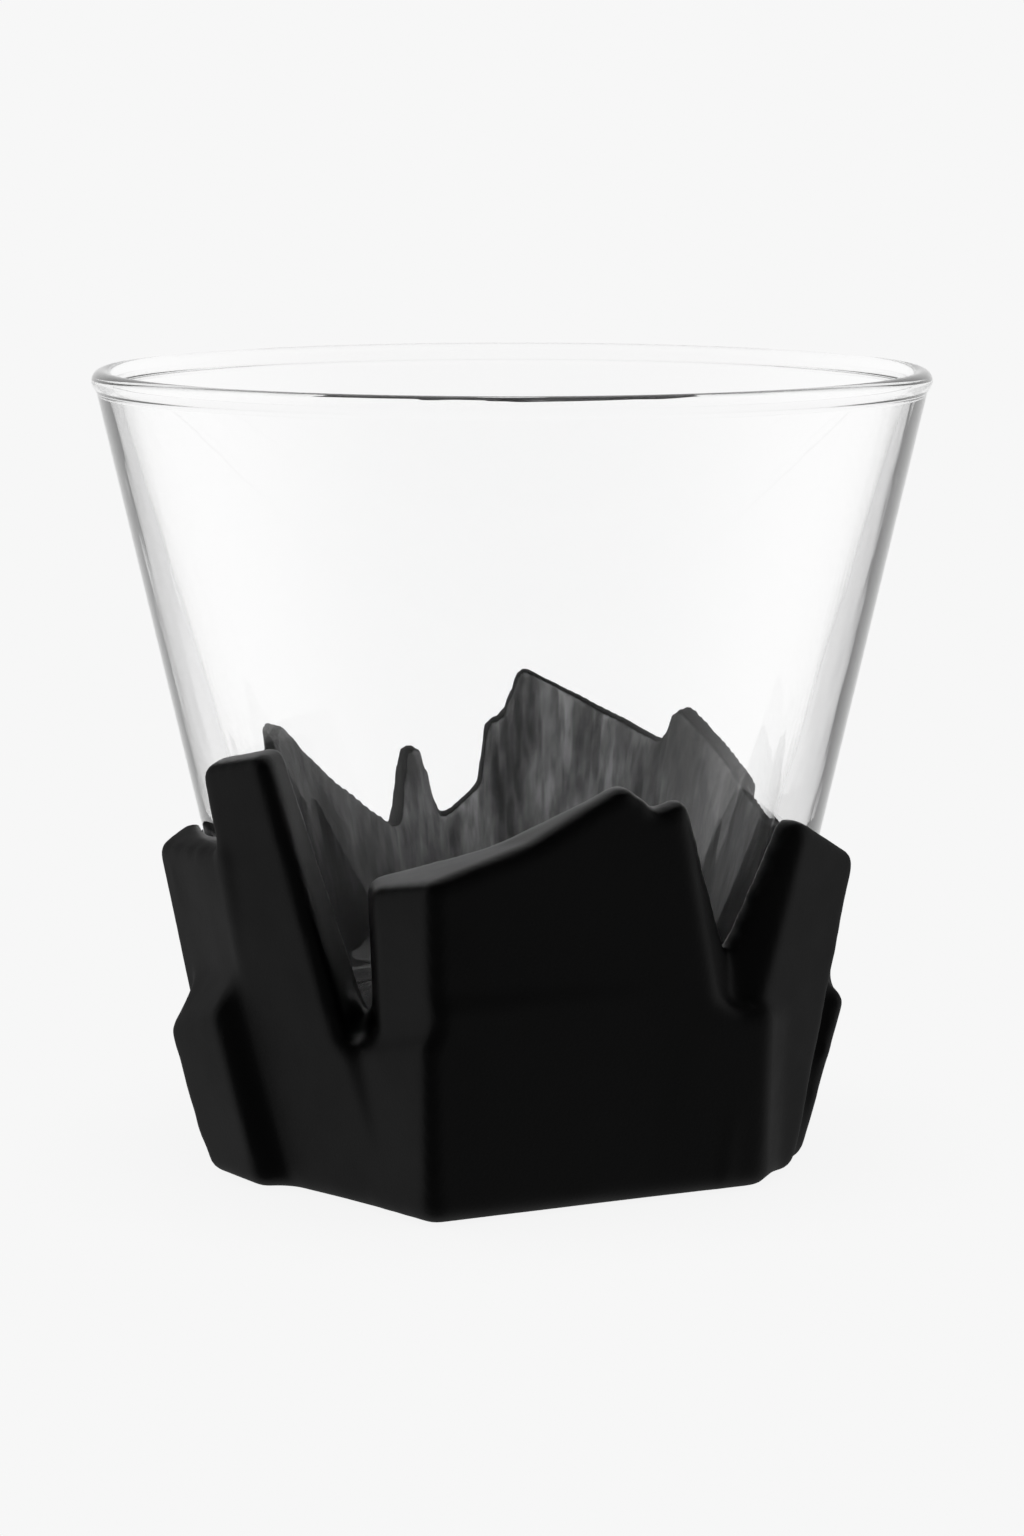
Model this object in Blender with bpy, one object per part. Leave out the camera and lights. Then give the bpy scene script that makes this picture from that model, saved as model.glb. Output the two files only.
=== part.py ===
"""Whiskey tumbler: a heavy conical glass standing in a moulded silicone boot.

The glass is turned from one closed profile. The boot is a ring of crystals, each cut from a
stock block by flat facets, joined into one body and hollowed to take the glass.

Axes: +Z up, origin in the middle of the boot's underside, on the glass's axis.
Azimuths are in degrees from -Y, the front, turning towards +X.
"""
from math import atan2, cos, degrees, pi, radians, sin, sqrt, tan
from typing import NamedTuple

import bmesh
import bpy
from mathutils import Vector

MM = 0.001

# ---- Driving dimensions, in metres -------------------------------------------------------
HEIGHT = 90.0 * MM              # whole tumbler, underside of the boot to the rim
RIM_RADIUS = 47.75 * MM         # widest point of the rim's bead
BEAD_RADIUS = 1.25 * MM         # rounding of the rim's bead
BOOT_FLOOR = 4.0 * MM           # silicone under the glass
FIT_GAP = 0.3 * MM              # clearance between glass and silicone
CUP_DEPTH_Z = 16.0 * MM         # height of the cup's inside floor
OUTER_LEAN = 0.2305             # outward run of the outer wall for each unit of height
OUTER_FOOT = 27.0 * MM          # outer wall's radius where its line meets z = 0
INNER_LEAN = 0.296              # the same for the cup's inner wall
INNER_FOOT = 19.4 * MM
FOOT_ROUND = 2.2 * MM           # rounding under the glass's foot
CUP_ROUND = 6.0 * MM            # rounding inside the cup's bottom corner
TURN_STEPS = 72                 # sides of every turned shape
ARC_STEPS = 4                   # straight pieces in each rounded corner
BEAD_BLEND = 2.0 * MM           # hollow arcs that lead from the walls into the bead
BEAD_STEPS = 10                 # straight pieces round the rim's bead

STOCK_SIZE = 120.0 * MM         # block that each crystal is cut from
CRYSTAL_CORE = 9.0 * MM         # crystals stop this far from the axis, inside the boot's floor
FLOOR_RADIUS = 24.0 * MM        # disc that ties the crystals together under the glass
DISC_HEIGHT = 3.0 * MM
SOCKET_TOP = 90.0 * MM          # above every uncut crystal
MERGE = 1e-5                    # points closer than this are one point


# ---- The boot's crystals, in millimetres ---------------------------------------------------
class Facet(NamedTuple):
    """A side face: the way it faces, its distance from the axis at z = 0, its outward lean."""
    azimuth: float
    distance: float
    lean: float


class Top(NamedTuple):
    """A top face: the way it falls, its height over the axis, its fall for each mm outward."""
    azimuth: float
    height: float
    fall: float


class Crystal(NamedTuple):
    name: str
    start: float                # the sector of the ring that the crystal fills, in degrees
    end: float
    facets: tuple
    tops: tuple


FRONT = Facet(26.4, 33.9, 0.145)            # the broad front face, shared by four crystals
FRONT_RIGHT = Facet(68.4, 33.7, -0.072)     # the flank that turns from it into the right notch

CRYSTALS = (
    Crystal("leaning_slab", -80, -15,
            (Facet(-46.5, 35.0, 0.166), Facet(70, 0.4, -0.275), Facet(-134.5, 1.4, 0.11)),
            (Top(-84, 62.0, 0.39),)),
    Crystal("left_lower", -80, -30,
            (Facet(-57.5, 37.3, 0.188), Facet(13, 18.6, -0.10), Facet(-159, -1.0, 0.16)),
            (Top(-72, 84.9, 1.67),)),
    Crystal("left_upper", -100, -50,
            (Facet(-66, 33.0, 0.19), Facet(-120, 25.8, 0.158)),
            (Top(-80, 54.6, 0.45), Top(-120, 49.2, 0.37))),
    Crystal("front_lower", -45, 30,
            (Facet(-50, 34.25, 0.116), Facet(27.4, 33.9, 0.145)),
            (Top(-59.5, 83.1, 2.0), Top(-97, 25.7, 0.585), Top(0, 24.5, 0))),
    Crystal("front_upper", -40, 22,
            (Facet(-48.2, 33.6, 0.13), FRONT, Facet(-84, 17.1, 0.059)),
            (Top(-86, 42.4, 0.32),)),
    Crystal("front_peak", -5, 60, (FRONT, FRONT_RIGHT),
            (Top(-68, 49.5, 0.53), Top(116, 42.5, 0.9))),
    Crystal("front_lobe", 5, 60, (FRONT, FRONT_RIGHT),
            (Top(-11, 62.1, 0.54),)),
    Crystal("right_post", 30, 75, (FRONT, Facet(72, 34.2, 0.074)),
            (Top(175, 13.4, 0.3),)),
    Crystal("right_upper", 42, 90,
            (Facet(10, 31.8, -0.084), Facet(53.2, 34.8, 0.125), Facet(140, 9.3, 0.155)),
            (Top(0, 41.4, 0), Top(120, 49.8, 0.517))),
    Crystal("right_seam", 58, 84, (Facet(72, 33.2, 0.15),),
            (Top(72, 24.0, 0),)),
    Crystal("right_lower", 66, 100,
            (Facet(95, 32.0, 0.268), Facet(0, 10.4, 0)),
            (Top(100, 54.5, 1.0),)),
    Crystal("right_rear", 80, 121,
            (Facet(104, 33.7, 0.18), Facet(90, 31.0, 0.21)),
            (Top(104, 40.9, 0.1), Top(98, 71.5, 1.0))),
    Crystal("rear_right", 118, 152,
            (Facet(133, 34.8, 0.16), Facet(236, 10.5, -0.25)),
            (Top(66, 48.4, 0.52),)),
    Crystal("rear_lower_right", 128, 176, (Facet(156, 36.6, 0.13),),
            (Top(140, 42.0, 0.7),)),
    Crystal("rear_tower", 146, 184,
            (Facet(172, 34.5, 0.16), Facet(150, 34.5, 0.165)),
            (Top(99, 51.6, 0.46), Top(270, 45.6, 2.67))),
    Crystal("rear_shoulder", 168, 192,
            (Facet(178, 34.8, 0.15), Facet(275, 6.1, -0.143)),
            (Top(178, 45.0, 0.08),)),
    Crystal("rear_low", 184, 199, (Facet(191, 34.3, 0.15),),
            (Top(265, 40.2, 0.77),)),
    Crystal("rear_spike", 192, 210,
            (Facet(200, 36.3, 0.12), Facet(291, 10.9, -0.253), Facet(111, 10.9, -0.255)),
            (Top(215, 48.5, 0.25),)),
    Crystal("rear_step", 203, 221.8, (Facet(212, 34.5, 0.14),),
            (Top(144, 41.7, 0.74),)),
    Crystal("rear_lower_left", 205, 243, (Facet(224, 36.8, 0.13),),
            (Top(224, 40.0, 0.65),)),
    Crystal("rear_wedge", 222, 244, (Facet(232, 34.5, 0.17),),
            (Top(158, 51.0, 0.93), Top(329, 41.4, 1.9))),
    Crystal("left_rear", 238, 285,
            (Facet(252, 33.7, 0.18), Facet(270, 31.6, 0.21)),
            (Top(240, 40.0, 0.1), Top(266, 72.0, 1.0))),
)


# ---- Small helpers -------------------------------------------------------------------------
def clear_scene():
    for item in list(bpy.data.objects):
        bpy.data.objects.remove(item, do_unlink=True)


def material(name, colour, roughness, transmission=0.0, ior=1.45):
    mat = bpy.data.materials.new(name)
    mat.use_nodes = True
    shader = mat.node_tree.nodes["Principled BSDF"]
    shader.inputs["Base Color"].default_value = (*colour, 1.0)
    shader.inputs["Roughness"].default_value = roughness
    shader.inputs["Metallic"].default_value = 0.0
    shader.inputs["Transmission Weight"].default_value = transmission
    shader.inputs["IOR"].default_value = ior
    mat.diffuse_color = (*colour, 1.0)
    return mat


def add_object(name, bm, collection):
    """Turn a bmesh into a named object with its faces pointing out."""
    bmesh.ops.recalc_face_normals(bm, faces=bm.faces)
    mesh = bpy.data.meshes.new(name)
    bm.to_mesh(mesh)
    bm.free()
    item = bpy.data.objects.new(name, mesh)
    collection.objects.link(item)
    return item


def as_cutter(item):
    item.hide_render = True
    item.display_type = "WIRE"
    return item


def shade(item, mat, sharp_from):
    item.data.materials.append(mat)
    item.data.shade_smooth()
    item.data.set_sharp_from_angle(angle=radians(sharp_from))


def outer_radius(height):
    return OUTER_FOOT + OUTER_LEAN * height


def inner_radius(height):
    return INNER_FOOT + INNER_LEAN * height


def arc(centre, radius, first, last, steps):
    """Points on an arc in the turning plane; angles in degrees from the outward direction."""
    angles = [radians(first + (last - first) * i / steps) for i in range(steps + 1)]
    return [(centre[0] + radius * cos(a), centre[1] + radius * sin(a)) for a in angles]


def bead_blend(bead, foot, lean, side):
    """The hollow arc between a wall and the bead: its centre, and the angles at its two ends.

    side is 1 on the outer wall and -1 on the inner one.
    """
    along = Vector((lean, 1.0)).normalized()
    out = Vector((along.y, -along.x)) * side
    inset = (Vector((foot + lean * bead.y, bead.y)) - bead).dot(out)
    drop = sqrt((BEAD_BLEND + BEAD_RADIUS) ** 2 - (BEAD_BLEND + inset) ** 2)
    to_bead = along * drop - out * (BEAD_BLEND + inset)
    return bead - to_bead, degrees(atan2(-out.y, -out.x)), degrees(atan2(to_bead.y, to_bead.x))


def rounded_corner(before, at, after, radius):
    """The corner of an outline, rounded by an arc that touches both of its sides."""
    at = Vector(at)
    to_before = (Vector(before) - at).normalized()
    to_after = (Vector(after) - at).normalized()
    half = to_before.angle(to_after) / 2
    setback = radius / tan(half)
    centre = at + (to_before + to_after).normalized() * radius / sin(half)
    first = at + to_before * setback - centre
    last = at + to_after * setback - centre
    spokes = [first.slerp(last, i / ARC_STEPS).normalized() for i in range(ARC_STEPS + 1)]
    return [tuple(centre + spoke * radius) for spoke in spokes]


def turned(profile):
    """Spin an outline of (radius, height) points, from axis to axis, round the Z axis."""
    bm = bmesh.new()
    line = [bm.verts.new((radius, 0.0, height)) for radius, height in profile]
    edges = [bm.edges.new(pair) for pair in zip(line, line[1:])]
    bmesh.ops.spin(bm, geom=line + edges, cent=(0, 0, 0), axis=(0, 0, 1),
                   angle=2 * pi, steps=TURN_STEPS)
    bmesh.ops.remove_doubles(bm, verts=bm.verts, dist=MERGE)
    return bm


# ---- The glass -----------------------------------------------------------------------------
def glass_profile():
    """Half outline of the glass: foot, outer wall, rim bead, inner wall, cup floor."""
    foot = BOOT_FLOOR + FIT_GAP
    bead = Vector((RIM_RADIUS - BEAD_RADIUS, HEIGHT - BEAD_RADIUS))
    outer, outer_wall, outer_bead = bead_blend(bead, OUTER_FOOT, OUTER_LEAN, 1)
    inner, inner_wall, inner_bead = bead_blend(bead, INNER_FOOT, INNER_LEAN, -1)
    outline = [(0.0, foot)]
    outline += rounded_corner((0.0, foot), (outer_radius(foot), foot),
                              (outer_radius(HEIGHT), HEIGHT), FOOT_ROUND)
    outline += arc(outer, BEAD_BLEND, outer_wall, outer_bead, ARC_STEPS)
    outline += arc(bead, BEAD_RADIUS, outer_bead - 180, inner_bead + 180, BEAD_STEPS)[1:]
    outline += arc(inner, BEAD_BLEND, inner_bead, inner_wall, ARC_STEPS)[1:]
    outline += rounded_corner((inner_radius(HEIGHT), HEIGHT),
                              (inner_radius(CUP_DEPTH_Z), CUP_DEPTH_Z),
                              (0.0, CUP_DEPTH_Z), CUP_ROUND)
    outline.append((0.0, CUP_DEPTH_Z))
    return outline


def make_glass(collection):
    glass = add_object("glass_tumbler", turned(glass_profile()), collection)
    shade(glass, material("clear_glass", (0.96, 0.97, 0.97), 0.02, transmission=1.0, ior=1.5), 30)
    return glass


# ---- The boot ------------------------------------------------------------------------------
def facing(azimuth):
    """Unit vector that points out from the axis at an azimuth."""
    return Vector((sin(radians(azimuth)), -cos(radians(azimuth)), 0.0))


def cut_away(bm, normal, distance):
    """Cut a convex body along a plane, drop what lies beyond it and close the cut."""
    length = normal.length
    everything = bm.verts[:] + bm.edges[:] + bm.faces[:]
    cut = bmesh.ops.bisect_plane(bm, geom=everything, dist=MERGE,
                                 plane_co=normal * distance / length ** 2,
                                 plane_no=normal / length, clear_outer=True)
    edges = [item for item in cut["geom_cut"] if isinstance(item, bmesh.types.BMEdge)]
    if edges:
        bmesh.ops.contextual_create(bm, geom=edges)


def crystal_body(crystal):
    """A stock block, standing on z = 0, cut by one crystal's facets and its sector."""
    bm = bmesh.new()
    bmesh.ops.create_cube(bm, size=STOCK_SIZE)
    bmesh.ops.translate(bm, verts=bm.verts, vec=(0, 0, STOCK_SIZE / 2))
    up = Vector((0, 0, 1))
    for facet in crystal.facets:
        cut_away(bm, facing(facet.azimuth) - up * facet.lean, facet.distance * MM)
    for top in crystal.tops:
        cut_away(bm, facing(top.azimuth) * top.fall + up, top.height * MM)
    cut_away(bm, facing(crystal.start - 90), 0.0)
    cut_away(bm, facing(crystal.end + 90), 0.0)
    cut_away(bm, -facing((crystal.start + crystal.end) / 2), -CRYSTAL_CORE)
    return bm


def floor_disc():
    return turned([(0.0, 0.0), (FLOOR_RADIUS, 0.0), (FLOOR_RADIUS, DISC_HEIGHT),
                   (0.0, DISC_HEIGHT)])


def socket_body():
    """The room that the glass fills, with its clearance, open above the boot."""
    floor = (outer_radius(BOOT_FLOOR) + FIT_GAP, BOOT_FLOOR)
    mouth = (outer_radius(SOCKET_TOP) + FIT_GAP, SOCKET_TOP)
    wall = rounded_corner((0.0, BOOT_FLOOR), floor, mouth, FOOT_ROUND)
    return turned([(0.0, BOOT_FLOOR)] + wall + [mouth, (0.0, SOCKET_TOP)])


def make_boot(collection):
    boot = add_object("silicone_boot", floor_disc(), collection)
    cluster = bpy.data.collections.new("crystals")
    collection.children.link(cluster)
    for crystal in CRYSTALS:
        as_cutter(add_object("cut_" + crystal.name, crystal_body(crystal), cluster))
    socket = as_cutter(add_object("cut_socket", socket_body(), collection))

    joined = boot.modifiers.new("join_crystals", "BOOLEAN")
    joined.operation = "UNION"
    joined.operand_type = "COLLECTION"
    joined.collection = cluster
    hollow = boot.modifiers.new("socket", "BOOLEAN")
    hollow.operation = "DIFFERENCE"
    hollow.object = socket
    shade(boot, material("black_silicone", (0.012, 0.012, 0.013), 0.5), 20)
    return boot


def main():
    clear_scene()
    collection = bpy.context.scene.collection
    boot = make_boot(collection)
    glass = make_glass(collection)
    glass.parent = boot


main()
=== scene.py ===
"""Looks for the whiskey tumbler: clear glass in a soft-edged black silicone boot."""

from math import atan2, cos, degrees, pi, radians, sin, sqrt, tan
from typing import NamedTuple

import bmesh
import bpy
import numpy as np
import openvdb as vdb
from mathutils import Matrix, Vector


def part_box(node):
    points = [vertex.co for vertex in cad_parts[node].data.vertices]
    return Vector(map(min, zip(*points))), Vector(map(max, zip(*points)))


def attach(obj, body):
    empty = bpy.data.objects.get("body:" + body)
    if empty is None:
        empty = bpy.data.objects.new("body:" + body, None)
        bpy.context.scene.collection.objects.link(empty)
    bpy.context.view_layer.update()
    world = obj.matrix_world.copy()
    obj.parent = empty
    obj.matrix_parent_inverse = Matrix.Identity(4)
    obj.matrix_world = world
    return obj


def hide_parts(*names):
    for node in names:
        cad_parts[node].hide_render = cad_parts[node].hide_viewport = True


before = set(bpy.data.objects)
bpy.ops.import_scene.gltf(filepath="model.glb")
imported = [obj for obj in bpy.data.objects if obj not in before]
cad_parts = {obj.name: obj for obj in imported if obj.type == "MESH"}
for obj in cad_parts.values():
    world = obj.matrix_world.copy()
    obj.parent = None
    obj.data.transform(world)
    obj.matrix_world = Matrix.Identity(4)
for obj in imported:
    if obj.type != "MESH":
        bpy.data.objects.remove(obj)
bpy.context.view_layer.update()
cad_boot_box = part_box("silicone_boot")

MM = 0.001
MERGE = 1e-6                    # points closer than this are one point

# ---- Camera --------------------------------------------------------------------------------
CAMERA_DISTANCE = 560 * MM      # in front of the glass's axis
CAMERA_HEIGHT = 126.37 * MM
CAMERA_PITCH = 8.379            # degrees down from level
SENSOR = 36                     # mm, along the picture's long side
LENS = 115.2                    # mm
NEAR_CLIP = 10 * MM

# ---- Glass, as the CAD has it ----------------------------------------------------------------
CUP_FLOOR = 16.0 * MM           # height of the cup's inside floor
OUTER_LEAN = 0.2305             # outward run of the outer wall for each unit of height
OUTER_FOOT = 27.0 * MM          # outer wall's radius where its line meets z = 0
INNER_LEAN = 0.296              # the same for the cup's inner wall
INNER_FOOT = 19.4 * MM
BEAD_RADIUS = 1.25 * MM         # rounding of the rim's bead
BEAD_BLEND = 2.0 * MM           # hollow arcs that lead from the walls into the bead
FOOT_ROUND = 2.2 * MM           # rounding under the glass's foot
CUP_ROUND = 6.0 * MM            # rounding inside the cup's bottom corner

# ---- Glass, finer than the CAD ---------------------------------------------------------------
TURN_STEPS = 288                # sides of the turned shape
BEAD_STEPS = 48                 # straight pieces round the bead
BLEND_STEPS = 16                # in each hollow arc
FOOT_STEPS = 12                 # in the rounding under the foot
CUP_STEPS = 16                  # in the rounding inside the cup
GUARD = 0.06 * MM               # distance of a guard ring from the end of a long stretch
LONG_STRETCH = 20 * GUARD       # the shortest stretch that gets them
GLASS_WAVES = 0.008 * MM        # height of the waves in its surface
GLASS_IOR = 1.5

# ---- Boot ------------------------------------------------------------------------------------
VOXEL = 0.4 * MM                # grid of the boot's fine surface
BAND = 14                       # grid steps each way in which distances are true
SPARE = 2                       # grid steps left free beyond that band
FILLET = 1.3 * MM               # moulded radius of concave edges
LIP_FILLET = 0.4 * MM           # and of those that meet the glass
LIP = (1.2 * MM, 3.5 * MM)      # distance from the glass over which one turns into the other
EDGE = 1.0 * MM                 # moulded radius of convex edges
BASE_EDGE = 1.9 * MM            # and of those near the table
BASE_ZONE = (2.4 * MM, 4.8 * MM)    # heights over which one turns into the other
SOCKET_GAP = 0.15 * MM          # clearance between glass and silicone
SOCKET_FLOOR = 4.0 * MM         # height of the boot's floor, under the glass
BLUR_SHAPE = 2                  # rounds of blur before the socket is cut
BLUR_LIPS = 1                   # and after

# ---- Silicone's finish -----------------------------------------------------------------------
SILICONE_IOR = 1.41
SILICONE_DARK = (0.006, 0.006, 0.0065, 1)
SILICONE_LIGHT = (0.010, 0.010, 0.0105, 1)
SILICONE_ROUGH = (0.40, 0.48)   # smoothest and roughest parts
GRAIN_HEIGHT = 0.06 * MM
GRAIN_STRENGTH = 0.25
SOCKET_DARK = (0.025, 0.025, 0.0255, 1)
SOCKET_PALE = (0.42, 0.42, 0.425, 1)
SOCKET_SKIN = (0.35 * MM, 0.6 * MM)     # distances from the glass where the socket's finish ends
MARKS_START = (18 * MM, 34 * MM)        # heights over which the pale streaks in the socket set in
MARKS_END = (8 * MM, 26 * MM)           # distances to either side over which they thin out
MARKS_LEFT = 0.3                        # to this share


class Pattern(NamedTuple):
    """A noise: how fine it is per metre, and the share of that which is left along Z."""
    fineness: float
    along: float
    detail: float
    roughness: float


BROAD_MARKS = Pattern(210, 0.08, 3.0, 0.6)
FINE_MARKS = Pattern(900, 0.03, 2.0, 0.5)
CLOUD = Pattern(90, 1.0, 4.0, 0.6)      # slow changes of colour and roughness
GRAIN = Pattern(3200, 1.0, 3.0, 0.6)
WAVES = Pattern(330, 0.05, 1.0, 0.5)
SPREAD = (0.3, 0.7)                     # the part of a noise's values that a ramp spreads out
FINE_SPREAD = (0.25, 0.7)               # the same for the fine marks
FINE_LEFT = 0.35                        # share of the broad marks left where these are faintest

# ---- Studio --------------------------------------------------------------------------------
# Depths and heights are the Y and Z shares of a direction; -1 in depth is the camera's side.
PALE = 0.93                     # backdrop and floor as seen
SIDE_LIGHT = 0.32               # surroundings as they light the object, beside it
FRONT_LIGHT = 0.05              # and in front of it
TURN = (-0.6, 0.1)              # depths between which front turns into side
BEHIND = 0.6                    # share of that light which is left behind the object
BACKWARD = (0.1, 0.75)          # depths over which it falls off
OVERHEAD = 0.2                  # share that is left overhead
UPWARD = (0.1, 0.7)             # heights over which it falls off
GLASS_REAR_LIGHT = 0.93         # surroundings as the glass mirrors them, behind the object
GLASS_FRONT_LIGHT = 0.0         # and in front of it
GLASS_TURN = (-1.0, 1.0)        # depths between which one turns into the other
SOCKET_LIGHT = 2.0              # surroundings as they light the socket through the glass
THROUGH = 0.964                 # share of light that one glass surface lets through
NO_BOUNCE = 0.5                 # a count of bounces under this is none
FLOOR_SIZE = 4.0
FLOOR_DROP = 0.2 * MM           # floor's distance under the boot
SHADOW_REACH = 25 * MM          # how far from the boot the floor darkens
SHADOW = 0.95                   # share of the floor's paleness that is left right under it


# ---- Nodes -----------------------------------------------------------------------------------
def new_nodes(tree):
    """A node tree, emptied."""
    tree.nodes.clear()
    return tree


def link(tree, source, target):
    tree.links.new(source, target)


def math_node(tree, operation, a, b=None):
    node = tree.nodes.new("ShaderNodeMath")
    node.operation = operation
    for socket, value in zip(node.inputs, (a, b)):
        if value is None:
            continue
        if isinstance(value, (int, float)):
            socket.default_value = value
        else:
            link(tree, value, socket)
    return node.outputs[0]


def seen(tree):
    """1 for what is seen directly or through glass, and 0 for what only lights the object.

    With it comes the paleness to show, which makes up for what the glass surfaces on the way take.
    """
    path = tree.nodes.new("ShaderNodeLightPath")
    straight = math_node(tree, "MAXIMUM", path.outputs["Is Camera Ray"],
                         path.outputs["Is Transmission Ray"])
    mirrored = math_node(tree, "ADD", path.outputs["Glossy Depth"],
                         path.outputs["Diffuse Depth"])
    unbroken = math_node(tree, "LESS_THAN", mirrored, NO_BOUNCE)
    direct = math_node(tree, "MULTIPLY", straight, unbroken)
    loss = math_node(tree, "POWER", THROUGH, path.outputs["Transmission Depth"])
    return direct, math_node(tree, "DIVIDE", PALE, loss)


def mixed(tree, factor, first, second):
    mix = tree.nodes.new("ShaderNodeMix")
    mix.data_type = "FLOAT"
    for socket, value in zip((mix.inputs[0], mix.inputs[2], mix.inputs[3]),
                             (factor, first, second)):
        if isinstance(value, float):
            socket.default_value = value
        else:
            link(tree, value, socket)
    return mix.outputs[0]


def ramped(tree, value, start, end, low, high):
    """A smooth step from low, where value is at start, to high, where it is at end."""
    ramp = tree.nodes.new("ShaderNodeMapRange")
    ramp.interpolation_type = "SMOOTHSTEP"
    link(tree, value, ramp.inputs["Value"])
    for name, number in (("From Min", start), ("From Max", end), ("To Min", low),
                         ("To Max", high)):
        ramp.inputs[name].default_value = number
    return ramp.outputs[0]


def make_world():
    """A studio that is pale where it is seen, and darker where it only lights the object."""
    world = bpy.data.worlds.new("studio")
    bpy.context.scene.world = world
    world.use_nodes = True
    tree = new_nodes(world.node_tree)
    direct, pale = seen(tree)
    place = tree.nodes.new("ShaderNodeTexCoord")
    parts = tree.nodes.new("ShaderNodeSeparateXYZ")
    link(tree, place.outputs["Generated"], parts.inputs[0])
    path = tree.nodes.new("ShaderNodeLightPath")
    falls = math_node(tree, "MULTIPLY",
                      ramped(tree, parts.outputs["Z"], *UPWARD, 1.0, OVERHEAD),
                      ramped(tree, parts.outputs["Y"], *BACKWARD, 1.0, BEHIND))
    dim = math_node(tree, "MULTIPLY", falls,
                    ramped(tree, parts.outputs["Y"], *TURN, FRONT_LIGHT, SIDE_LIGHT))
    mirrored = ramped(tree, parts.outputs["Y"], *GLASS_TURN, GLASS_FRONT_LIGHT,
                      GLASS_REAR_LIGHT)
    scattered = math_node(tree, "MINIMUM", path.outputs["Diffuse Depth"], 1.0)
    bright = mixed(tree, scattered, mirrored, SOCKET_LIGHT)
    by_glass = math_node(tree, "MAXIMUM", path.outputs["Is Transmission Ray"],
                         path.outputs["Is Singular Ray"])
    around = mixed(tree, by_glass, dim, bright)
    strength = mixed(tree, direct, around, pale)
    glow = tree.nodes.new("ShaderNodeBackground")
    glow.inputs["Color"].default_value = (1, 1, 1, 1)
    link(tree, strength, glow.inputs["Strength"])
    out = tree.nodes.new("ShaderNodeOutputWorld")
    link(tree, glow.outputs[0], out.inputs["Surface"])


def make_floor():
    """A pale floor with a faint shadow; light on its way to the object passes through it."""
    mat = bpy.data.materials.new("pale_floor")
    mat.use_nodes = True
    tree = new_nodes(mat.node_tree)
    direct, pale = seen(tree)
    shade = tree.nodes.new("ShaderNodeAmbientOcclusion")
    shade.inputs["Distance"].default_value = SHADOW_REACH
    shadow = tree.nodes.new("ShaderNodeMapRange")
    link(tree, shade.outputs["AO"], shadow.inputs["Value"])
    shadow.inputs["To Min"].default_value = SHADOW
    strength = math_node(tree, "MULTIPLY", pale, shadow.outputs[0])
    glow = tree.nodes.new("ShaderNodeEmission")
    glow.inputs["Color"].default_value = (1, 1, 1, 1)
    link(tree, strength, glow.inputs["Strength"])
    clear = tree.nodes.new("ShaderNodeBsdfTransparent")
    mix = tree.nodes.new("ShaderNodeMixShader")
    link(tree, direct, mix.inputs[0])
    link(tree, clear.outputs[0], mix.inputs[1])
    link(tree, glow.outputs[0], mix.inputs[2])
    out = tree.nodes.new("ShaderNodeOutputMaterial")
    link(tree, mix.outputs[0], out.inputs["Surface"])
    bpy.ops.mesh.primitive_plane_add(size=FLOOR_SIZE, location=(0, 0, -FLOOR_DROP))
    floor = bpy.context.object
    floor.name = "floor"
    floor.data.materials.append(mat)


def make_camera():
    data = bpy.data.cameras.new("camera")
    data.sensor_fit = "AUTO"
    data.sensor_width = SENSOR
    data.lens = LENS
    data.clip_start = NEAR_CLIP
    camera = bpy.data.objects.new("camera", data)
    camera.location = (0, -CAMERA_DISTANCE, CAMERA_HEIGHT)
    camera.rotation_euler = (radians(90 - CAMERA_PITCH), 0, 0)
    bpy.context.scene.collection.objects.link(camera)
    bpy.context.scene.camera = camera


def noise(tree, place, pattern):
    scale = tree.nodes.new("ShaderNodeMapping")
    scale.inputs["Scale"].default_value = (1.0, 1.0, pattern.along)
    link(tree, place, scale.inputs["Vector"])
    node = tree.nodes.new("ShaderNodeTexNoise")
    node.inputs["Scale"].default_value = pattern.fineness
    node.inputs["Detail"].default_value = pattern.detail
    node.inputs["Roughness"].default_value = pattern.roughness
    link(tree, scale.outputs[0], node.inputs["Vector"])
    return node.outputs["Fac"]


def bumped(tree, shader, height, strength, distance):
    """Let a pattern of heights bump a shader's surface."""
    bump = tree.nodes.new("ShaderNodeBump")
    bump.inputs["Strength"].default_value = strength
    bump.inputs["Distance"].default_value = distance
    link(tree, height, bump.inputs["Height"])
    link(tree, bump.outputs[0], shader.inputs["Normal"])


def colour_between(tree, factor, first, second):
    mix = tree.nodes.new("ShaderNodeMix")
    mix.data_type = "RGBA"
    for socket, value in ((mix.inputs[0], factor), (mix.inputs[6], first),
                          (mix.inputs[7], second)):
        if isinstance(value, tuple):
            socket.default_value = value
        else:
            link(tree, value, socket)
    return mix.outputs[2]


def pale_streaks(tree, place, parts):
    """Streaks that run up and down, strongest high up and towards x = 0."""
    broad = ramped(tree, noise(tree, place, BROAD_MARKS), *SPREAD, 0.0, 1.0)
    fine = ramped(tree, noise(tree, place, FINE_MARKS), *FINE_SPREAD, FINE_LEFT, 1.0)
    streaks = math_node(tree, "MULTIPLY", broad, fine)
    raised = ramped(tree, parts.outputs["Z"], *MARKS_START, 0.0, 1.0)
    beside = math_node(tree, "ABSOLUTE", parts.outputs["X"])
    spread = math_node(tree, "MULTIPLY", raised,
                       ramped(tree, beside, *MARKS_END, 1.0, MARKS_LEFT))
    return math_node(tree, "MULTIPLY", streaks, spread)


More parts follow.
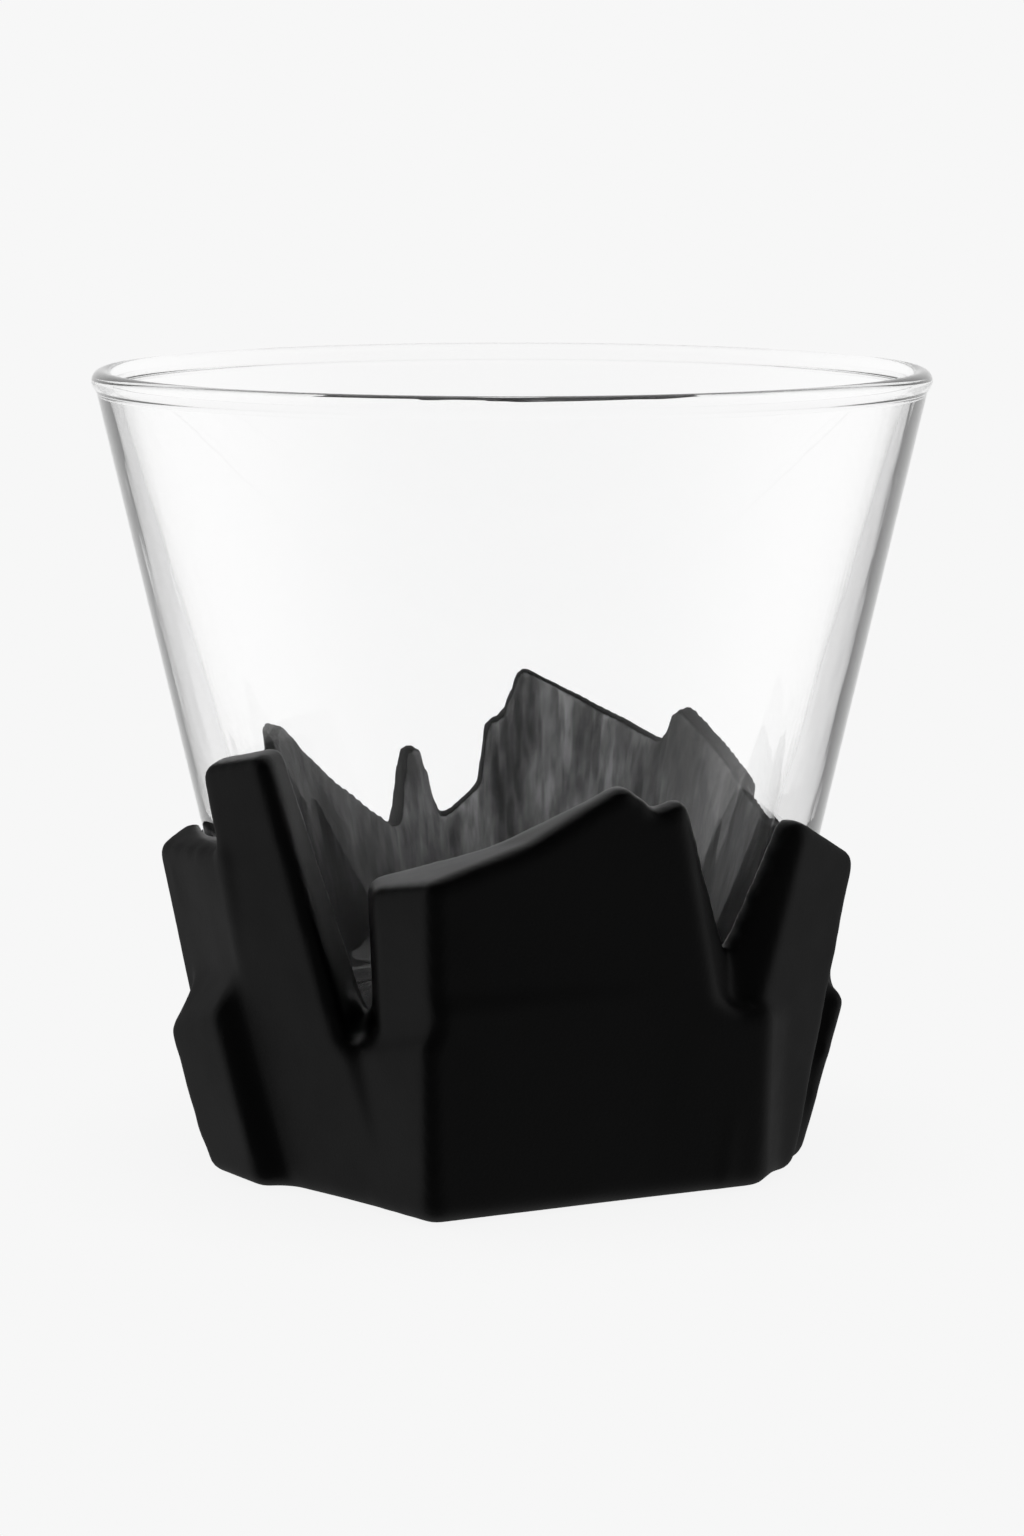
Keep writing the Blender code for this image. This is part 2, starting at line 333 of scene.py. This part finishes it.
def silicone():
    """Matt black outside; inside the socket, paler in upright streaks that are strongest high up.
    """
    mat = bpy.data.materials.new("black_silicone")
    mat.use_nodes = True
    tree = mat.node_tree
    shader = tree.nodes["Principled BSDF"]
    shader.inputs["IOR"].default_value = SILICONE_IOR
    place = tree.nodes.new("ShaderNodeTexCoord").outputs["Object"]
    parts = tree.nodes.new("ShaderNodeSeparateXYZ")
    link(tree, place, parts.inputs[0])

    squares = [math_node(tree, "POWER", parts.outputs[axis], 2.0) for axis in "XY"]
    radius = math_node(tree, "SQRT", math_node(tree, "ADD", *squares))
    wall = math_node(tree, "ADD", OUTER_FOOT,
                     math_node(tree, "MULTIPLY", parts.outputs["Z"], OUTER_LEAN))
    clear = math_node(tree, "SUBTRACT", radius, wall)
    inside = ramped(tree, clear, *SOCKET_SKIN, 1.0, 0.0)

    # the socket's colour: dark, with pale upright streaks strongest high up and towards x = 0
    socket = colour_between(tree, pale_streaks(tree, place, parts), SOCKET_DARK, SOCKET_PALE)
    cloud = noise(tree, place, CLOUD)
    outer = colour_between(tree, cloud, SILICONE_DARK, SILICONE_LIGHT)
    link(tree, colour_between(tree, inside, outer, socket), shader.inputs["Base Color"])
    link(tree, ramped(tree, cloud, *SPREAD, *SILICONE_ROUGH), shader.inputs["Roughness"])
    bumped(tree, shader, noise(tree, place, GRAIN), GRAIN_STRENGTH, GRAIN_HEIGHT)
    return mat


def clear_glass():
    """Clear glass with the slight upright waves that pressing leaves in its surface."""
    mat = bpy.data.materials.new("clear_glass")
    mat.use_nodes = True
    tree = mat.node_tree
    shader = tree.nodes["Principled BSDF"]
    shader.inputs["Base Color"].default_value = (1, 1, 1, 1)
    shader.inputs["Roughness"].default_value = 0.0
    shader.inputs["Transmission Weight"].default_value = 1.0
    shader.inputs["IOR"].default_value = GLASS_IOR
    place = tree.nodes.new("ShaderNodeTexCoord").outputs["Object"]
    bumped(tree, shader, noise(tree, place, WAVES), 1.0, GLASS_WAVES)
    return mat


# ---- The boot ------------------------------------------------------------------------------
class Lattice:
    """A block of distance samples round the boot: negative inside, positive outside."""

    def __init__(self, low, high):
        pad = BAND + SPARE
        self.start = np.floor(np.array(low) / VOXEL).astype(int) - pad
        self.shape = np.ceil(np.array(high) / VOXEL).astype(int) + pad - self.start
        self.transform = vdb.createLinearTransform(voxelSize=VOXEL)

    def distances(self, points, triangles, quads):
        """Signed distances from a closed surface."""
        grid = vdb.FloatGrid.createLevelSetFromPolygons(
            points, triangles=triangles, quads=quads, transform=self.transform, halfWidth=BAND)
        samples = np.empty(self.shape, np.float32)
        grid.copyToArray(samples, ijk=tuple(self.start))
        return samples

    def surface(self, samples, level):
        """The points, triangles and quads of the surface that lies at one level."""
        grid = vdb.FloatGrid(BAND * VOXEL)
        grid.copyFromArray(samples, ijk=tuple(self.start))
        grid.transform = self.transform
        grid.gridClass = vdb.GridClass.LEVEL_SET
        return grid.convertToPolygons(isovalue=level)

    def moved(self, samples, level):
        """Distances from the surface that lies at another level of the same samples."""
        return self.distances(*self.surface(samples, level))

    def places(self):
        axes = [(np.arange(n) + s) * VOXEL for n, s in zip(self.shape, self.start)]
        return np.meshgrid(*axes, indexing="ij", sparse=True)


def round_step(value, start, end):
    t = np.clip((value - start) / (end - start), 0, 1)
    return t * t * (3 - 2 * t)


def softened(samples, rounds):
    """Blur the samples over their neighbours."""
    for axis in (0, 1, 2) * rounds:
        ahead, behind = np.roll(samples, -1, axis), np.roll(samples, 1, axis)
        samples = 0.5 * samples + 0.25 * (ahead + behind)
    return samples


def opened(lattice, samples, radius):
    """Round every convex edge."""
    return lattice.moved(samples, -radius) - radius


def soft_boot(points, triangles):
    """The CAD boot with moulded edges: concave ones filled, then convex ones rounded.

    The socket is filled meanwhile and cut again afterwards, so that its lips stay crisp.
    """
    lattice = Lattice(*cad_boot_box)
    x, y, z = lattice.places()
    cad = lattice.distances(points, triangles, np.empty((0, 4), np.int32))
    slope = 1 / sqrt(1 + OUTER_LEAN ** 2)
    wall = (np.sqrt(x * x + y * y) - OUTER_FOOT - OUTER_LEAN * z - SOCKET_GAP) * slope
    plug = np.maximum(wall, SOCKET_FLOOR - z).astype(np.float32)
    crisp = lattice.moved(cad, LIP_FILLET) + LIP_FILLET
    soft = lattice.moved(cad, FILLET) + FILLET
    shape = crisp + (soft - crisp) * round_step(plug, *LIP)
    filled = np.minimum(shape, plug)
    tight = opened(lattice, filled, EDGE)
    broad = opened(lattice, filled, BASE_EDGE)
    shape = broad + (tight - broad) * round_step(z, *BASE_ZONE)
    shape = np.maximum(softened(shape, BLUR_SHAPE), -plug)
    return lattice.surface(softened(shape, BLUR_LIPS).astype(np.float32), 0.0)


def make_boot(mat):
    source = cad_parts["silicone_boot"]
    bm = bmesh.new()
    bm.from_mesh(source.data)
    bmesh.ops.remove_doubles(bm, verts=bm.verts, dist=MERGE)
    bmesh.ops.triangulate(bm, faces=bm.faces)
    points = np.array([v.co for v in bm.verts], np.float32)
    triangles = np.array([[v.index for v in f.verts] for f in bm.faces], np.int32)
    bm.free()
    points, triangles, quads = soft_boot(points, triangles)
    mesh = bpy.data.meshes.new("boot")
    mesh.from_pydata(points.tolist(), [], triangles.tolist() + quads.tolist())
    bm = bmesh.new()
    bm.from_mesh(mesh)
    bmesh.ops.recalc_face_normals(bm, faces=bm.faces)
    bm.to_mesh(mesh)
    bm.free()
    mesh.materials.append(mat)
    mesh.shade_smooth()
    boot = bpy.data.objects.new("boot", mesh)
    bpy.context.scene.collection.objects.link(boot)
    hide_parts("silicone_boot")
    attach(boot, "boot")


# ---- The glass -----------------------------------------------------------------------------
def arc(centre, radius, first, last, steps):
    """Points on an arc in the turning plane; angles in degrees from the outward direction."""
    angles = [radians(first + (last - first) * i / steps) for i in range(steps + 1)]
    return [(centre[0] + radius * cos(a), centre[1] + radius * sin(a)) for a in angles]


def rounded_corner(before, at, after, radius, steps):
    """The corner of an outline, rounded by an arc that touches both of its sides."""
    at = Vector(at)
    to_before = (Vector(before) - at).normalized()
    to_after = (Vector(after) - at).normalized()
    half = to_before.angle(to_after) / 2
    centre = at + (to_before + to_after).normalized() * radius / sin(half)
    first = at + to_before * radius / tan(half) - centre
    last = at + to_after * radius / tan(half) - centre
    spokes = [first.slerp(last, i / steps).normalized() for i in range(steps + 1)]
    return [tuple(centre + spoke * radius) for spoke in spokes]


def outer_radius(height):
    return OUTER_FOOT + OUTER_LEAN * height


def inner_radius(height):
    return INNER_FOOT + INNER_LEAN * height


def bead_blend(bead, foot, lean, side):
    """The hollow arc between a wall and the bead: its centre, and the angles at its two ends.

    side is 1 on the outer wall and -1 on the inner one.
    """
    along = Vector((lean, 1.0)).normalized()
    out = Vector((along.y, -along.x)) * side
    inset = (Vector((foot + lean * bead.y, bead.y)) - bead).dot(out)
    drop = sqrt((BEAD_BLEND + BEAD_RADIUS) ** 2 - (BEAD_BLEND + inset) ** 2)
    to_bead = along * drop - out * (BEAD_BLEND + inset)
    return bead - to_bead, degrees(atan2(-out.y, -out.x)), degrees(atan2(to_bead.y, to_bead.x))


def glass_profile(foot, top, rim):
    """Half outline of the glass: foot, outer wall, rim bead, inner wall, cup floor."""
    bead = Vector((rim - BEAD_RADIUS, top - BEAD_RADIUS))
    outer, outer_wall, outer_bead = bead_blend(bead, OUTER_FOOT, OUTER_LEAN, 1)
    inner, inner_wall, inner_bead = bead_blend(bead, INNER_FOOT, INNER_LEAN, -1)
    outline = [(0.0, foot)]
    outline += rounded_corner((0.0, foot), (outer_radius(foot), foot),
                              (outer_radius(top), top), FOOT_ROUND, FOOT_STEPS)
    outline += arc(outer, BEAD_BLEND, outer_wall, outer_bead, BLEND_STEPS)
    outline += arc(bead, BEAD_RADIUS, outer_bead - 180, inner_bead + 180, BEAD_STEPS)[1:]
    outline += arc(inner, BEAD_BLEND, inner_bead, inner_wall, BLEND_STEPS)[1:]
    outline += rounded_corner((inner_radius(top), top), (inner_radius(CUP_FLOOR), CUP_FLOOR),
                              (0.0, CUP_FLOOR), CUP_ROUND, CUP_STEPS)
    outline.append((0.0, CUP_FLOOR))
    return outline


def guarded(outline):
    """Rings close to both ends of each long stretch keep the shading on it straight."""
    points = [outline[0]]
    for start, end in zip(outline, outline[1:]):
        start, end = Vector(start), Vector(end)
        length = (end - start).length
        if length > LONG_STRETCH:
            points += [tuple(start.lerp(end, GUARD / length)),
                       tuple(end.lerp(start, GUARD / length))]
        points.append(tuple(end))
    return points


def make_glass(mat):
    low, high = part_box("glass_tumbler")
    profile = guarded(glass_profile(low.z, high.z, high.x))
    bm = bmesh.new()
    line = [bm.verts.new((radius, 0.0, height)) for radius, height in profile]
    edges = [bm.edges.new(pair) for pair in zip(line, line[1:])]
    bmesh.ops.spin(bm, geom=line + edges, cent=(0, 0, 0), axis=(0, 0, 1),
                   angle=2 * pi, steps=TURN_STEPS)
    bmesh.ops.remove_doubles(bm, verts=bm.verts, dist=MERGE)
    bmesh.ops.recalc_face_normals(bm, faces=bm.faces)
    mesh = bpy.data.meshes.new("glass")
    bm.to_mesh(mesh)
    bm.free()
    mesh.materials.append(mat)
    mesh.shade_smooth()
    glass = bpy.data.objects.new("glass", mesh)
    bpy.context.scene.collection.objects.link(glass)
    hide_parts("glass_tumbler")
    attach(glass, "tumbler")


bpy.context.scene.view_settings.view_transform = "Standard"
make_camera()
make_world()
make_floor()
make_boot(silicone())
make_glass(clear_glass())
